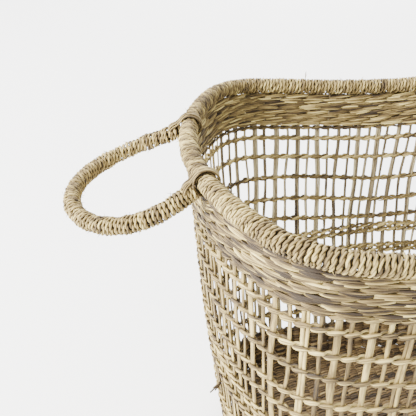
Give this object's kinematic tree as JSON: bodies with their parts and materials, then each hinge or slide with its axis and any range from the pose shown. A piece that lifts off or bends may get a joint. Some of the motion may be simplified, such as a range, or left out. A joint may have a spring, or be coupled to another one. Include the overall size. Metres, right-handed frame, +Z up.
{
  "type": "storage basket",
  "caption": "Tapered rectangular seagrass basket with rounded corners, open woven rows over flat stakes, a wrapped rim and hinged wrapped loop handles.",
  "frame": {"origin": "centre of the basket's underside, on the floor", "axes": "+X along the basket's length towards the right handle, -Y towards the front wall, +Z up"},
  "size_m": [0.5812, 0.321, 0.304],
  "materials": {
    "seagrass_cord": "matt twisted plant fibre",
    "seagrass_stake": "matt ribbed plant fibre",
    "seagrass_weave": "matt plant fibre",
    "seagrass_mat": "matt plant fibre",
    "seagrass_strap": "matt plant fibre",
    "cane": "bare cane"
  },
  "bodies": {
    "basket": {"rim_core": "cane", "rim_wrap": "seagrass_cord", "stakes_front": "seagrass_stake", "stakes_back": "seagrass_stake", "stakes_left": "seagrass_stake", "stakes_right": "seagrass_stake", "stakes_corner_front_left": "seagrass_stake", "stakes_corner_front_right": "seagrass_stake", "stakes_corner_back_left": "seagrass_stake", "stakes_corner_back_right": "seagrass_stake", "top_band": "seagrass_weave", "lattice_row_1": "seagrass_weave", "lattice_row_2": "seagrass_weave", "lattice_row_3": "seagrass_weave", "lattice_row_4": "seagrass_weave", "lattice_row_5": "seagrass_weave", "lower_band": "seagrass_weave", "lattice_row_6": "seagrass_weave", "lattice_row_7": "seagrass_weave", "lattice_row_8": "seagrass_weave", "base_band": "seagrass_mat", "base_mat": "seagrass_mat", "base_stakes": "seagrass_stake"},
    "handle_left": {"handle_left_core": "cane", "handle_left_wrap": "seagrass_cord", "handle_left_strap_front": "seagrass_strap", "handle_left_strap_back": "seagrass_strap"},
    "handle_right": {"handle_right_core": "cane", "handle_right_wrap": "seagrass_cord", "handle_right_strap_front": "seagrass_strap", "handle_right_strap_back": "seagrass_strap"}
  },
  "joints": [
    {"name": "handle_left_swing", "type": "hinge", "parent": "basket", "child": "handle_left", "pos_m": [-0.19833, 0, 0.2935], "axis": [0, 1, 0], "range_deg": [-20, 115]},
    {"name": "handle_right_swing", "type": "hinge", "parent": "basket", "child": "handle_right", "pos_m": [0.19833, 0, 0.2935], "axis": [0, -1, 0], "range_deg": [-20, 115]}
  ]
}
